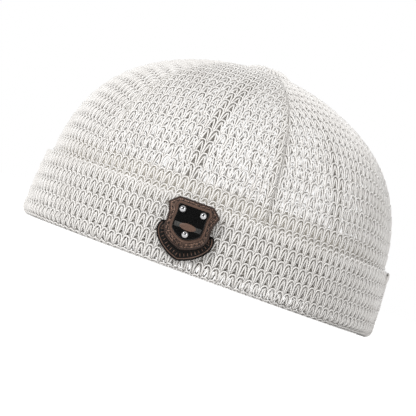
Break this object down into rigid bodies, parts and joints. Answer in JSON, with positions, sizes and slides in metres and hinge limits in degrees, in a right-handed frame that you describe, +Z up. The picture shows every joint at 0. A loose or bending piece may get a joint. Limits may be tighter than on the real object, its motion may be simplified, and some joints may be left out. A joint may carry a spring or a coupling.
{
  "type": "mesh beanie",
  "caption": "Brimless knit mesh skull cap with a folded-up cuff, an inner cloth facing, an adjustable strap across the open back and a small shield badge.",
  "frame": {"origin": "middle of the cap's box at the plane that the cuff's fold stands on", "axes": "+Z up, -Y to the front of the cap, +X to the wearer's left"},
  "size_m": [0.194, 0.199, 0.1181],
  "materials": {
    "knit": "warm white yarn mesh",
    "facing": "beige twill with rows of topstitching",
    "webbing": "black ribbed webbing",
    "slider": "moulded black plastic, satin",
    "badge_black": "black leather, brown edge line",
    "badge_leather": "brown leather with dark stitches",
    "badge_gloss": "glossy black",
    "stud": "polished steel"
  },
  "bodies": {
    "root": {"crown_panel_front_left": "knit", "crown_panel_side_left": "knit", "crown_panel_back_left": "knit", "crown_panel_back_right": "knit", "crown_panel_side_right": "knit", "crown_panel_front_right": "knit", "crown_gather": "knit", "cuff": "knit", "facing_band": "facing", "strap_long": "webbing", "strap_short": "webbing", "buckle": "slider", "badge_ribbon": "badge_black", "badge_shield": "badge_leather", "badge_plate": "badge_gloss", "badge_stud_left": "stud", "badge_stud_right": "stud", "badge_stud_bottom": "stud"}
  },
  "joints": []
}
